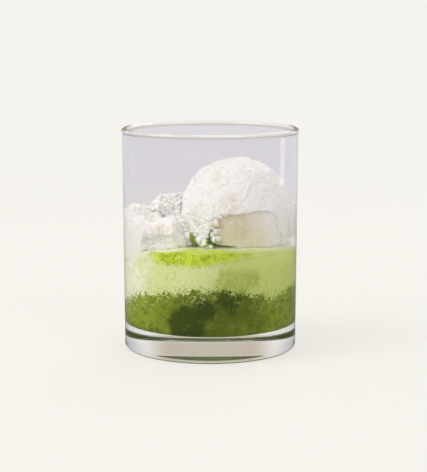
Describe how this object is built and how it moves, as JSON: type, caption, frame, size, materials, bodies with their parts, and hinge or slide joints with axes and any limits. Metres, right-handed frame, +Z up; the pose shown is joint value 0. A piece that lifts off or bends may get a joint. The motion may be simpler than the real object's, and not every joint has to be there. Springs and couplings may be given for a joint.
{
  "type": "affogato",
  "caption": "Matcha affogato: ice cream over layered green tea, pale cream and froth in a straight, heavy-based glass tumbler.",
  "frame": {"origin": "centre of the foot, on the plane the glass stands on", "axes": "+Z up along the glass's axis; -Y is the side that faces the guest"},
  "size_m": [0.0838, 0.0838, 0.105],
  "materials": {
    "glass": "clear, fire-polished",
    "matcha": "opaque dark green liquid",
    "matcha_cream": "pale green, milky",
    "froth": "fine bright green bubbles",
    "ice_cream": "scraped, off-white"
  },
  "bodies": {
    "root": {"glass": "glass", "matcha": "matcha", "matcha_cream": "matcha_cream", "froth": "froth", "scoop": "ice_cream", "broken_scoop": "ice_cream", "curl": "ice_cream"}
  },
  "joints": []
}
